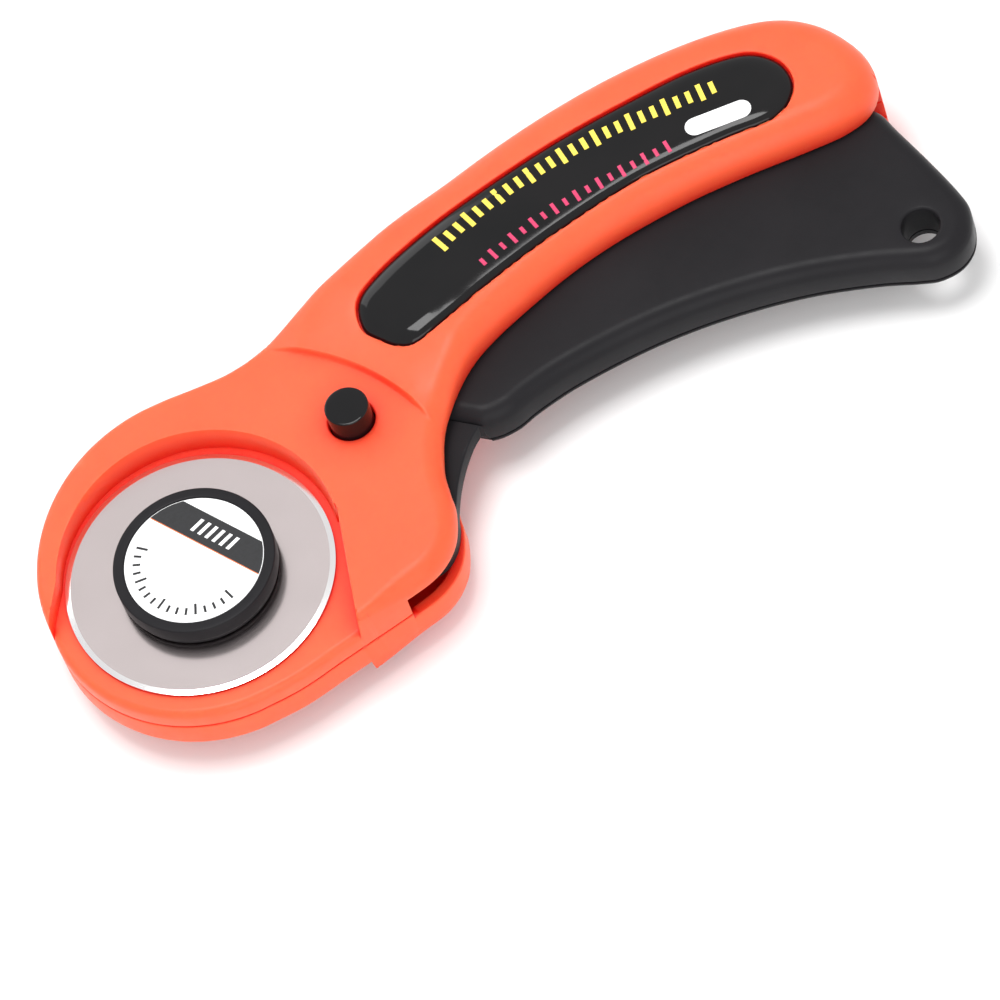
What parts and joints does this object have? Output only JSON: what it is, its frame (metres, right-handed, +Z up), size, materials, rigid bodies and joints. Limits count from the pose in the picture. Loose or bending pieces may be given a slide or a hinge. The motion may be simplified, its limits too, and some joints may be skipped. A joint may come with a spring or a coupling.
{
  "type": "rotary cutter",
  "caption": "Squeeze-handle rotary cutter: round blade on a sprung lever between two orange shells, with a push lock button, a hand nut behind and a hanging hole.",
  "frame": {"origin": "middle of the bounding box, on the plane of the flat back of the handle that the tool lies on", "axes": "+X along the tool from the blade to the tail of the handle, +Y across it towards the back of the handle, +Z up out of the front face with the blade"},
  "size_m": [0.1644, 0.0869, 0.0243],
  "materials": {
    "coral_plastic": "moulded coral-orange plastic, satin",
    "black_plastic": "moulded black plastic, satin",
    "gloss_black": "glossy black",
    "label_face": "printed label, white and black",
    "polished_steel": "polished blade steel",
    "spring_steel": "plated steel",
    "brass": "turned brass",
    "rubber": "black rubber"
  },
  "bodies": {
    "handle": {"front_shell": "coral_plastic", "rear_shell": "coral_plastic", "front_grip_panel": "gloss_black", "rear_grip_panel": "gloss_black", "case_screw_1": "spring_steel", "case_screw_2": "spring_steel", "case_screw_3": "spring_steel", "case_screw_4": "spring_steel", "button_friction_ring": "rubber", "spring_seat": "black_plastic", "return_spring": "spring_steel", "lever_pivot_pin": "polished_steel"},
    "lever": {"lever_body": "black_plastic", "lever_back": "black_plastic", "lever_screw_1": "spring_steel", "lever_screw_2": "spring_steel", "pivot_bushing": "brass", "hub_cap": "black_plastic", "hub_label": "label_face", "blade_bolt": "spring_steel", "hub_bushing": "brass", "rear_spacer": "polished_steel", "wave_washer": "spring_steel", "retaining_nut": "black_plastic"},
    "blade": {"blade": "polished_steel"},
    "lock_button": {"lock_button": "gloss_black"}
  },
  "joints": [
    {"name": "lever_squeeze", "type": "hinge", "parent": "handle", "child": "lever", "pos_m": [-0.02115, -0.02045, 0.0115], "axis": [0, 0, 1], "range_deg": [0, 9], "stiffness_Nm_per_rad": 1, "springref_deg": -5.73, "deforming": ["return_spring"]},
    {"name": "blade_spin", "type": "hinge", "parent": "lever", "child": "blade", "pos_m": [-0.05615, -0.01745, 0.0158], "axis": [0, 0, 1], "continuous": true},
    {"name": "lock_press", "type": "slide", "parent": "handle", "child": "lock_button", "axis": [0, 0, -1], "range_m": [0, 0.003]}
  ]
}
